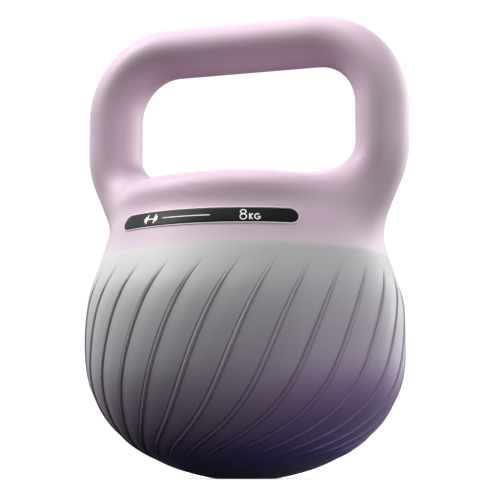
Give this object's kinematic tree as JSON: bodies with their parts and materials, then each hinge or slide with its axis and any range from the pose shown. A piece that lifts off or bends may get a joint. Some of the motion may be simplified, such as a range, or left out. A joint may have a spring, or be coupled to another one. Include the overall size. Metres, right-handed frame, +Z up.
{
  "type": "kettlebell",
  "caption": "Soft-skinned kettlebell with a flat base, a short neck, a closed loop handle, a steel handle core and sand ballast inside.",
  "frame": {"origin": "centre of the flat base, on the floor", "axes": "+Z up, +X to the right along the grip, the label on the -Y side"},
  "size_m": [0.1996, 0.1896, 0.271],
  "materials": {
    "soft_skin": "satin",
    "core_steel": "satin",
    "stud_steel": "satin",
    "plate_steel": "matte",
    "fastener_steel": "satin",
    "liner_plastic": "matte",
    "iron_sand": "matte",
    "plug_plastic": "satin",
    "seal_rubber": "matte",
    "label_film": "satin",
    "label_edge": "satin",
    "label_print": "satin"
  },
  "bodies": {
    "root": {"skin": "soft_skin", "handle_core": "core_steel", "core_studs": "stud_steel", "anchor_plate": "plate_steel", "anchor_washers": "fastener_steel", "anchor_nuts": "fastener_steel", "liner": "liner_plastic", "ballast": "iron_sand", "fill_plug": "plug_plastic", "plug_seal": "seal_rubber", "label": "label_film", "label_rim": "label_edge", "label_mark": "label_print", "label_weight": "label_print"}
  },
  "joints": []
}
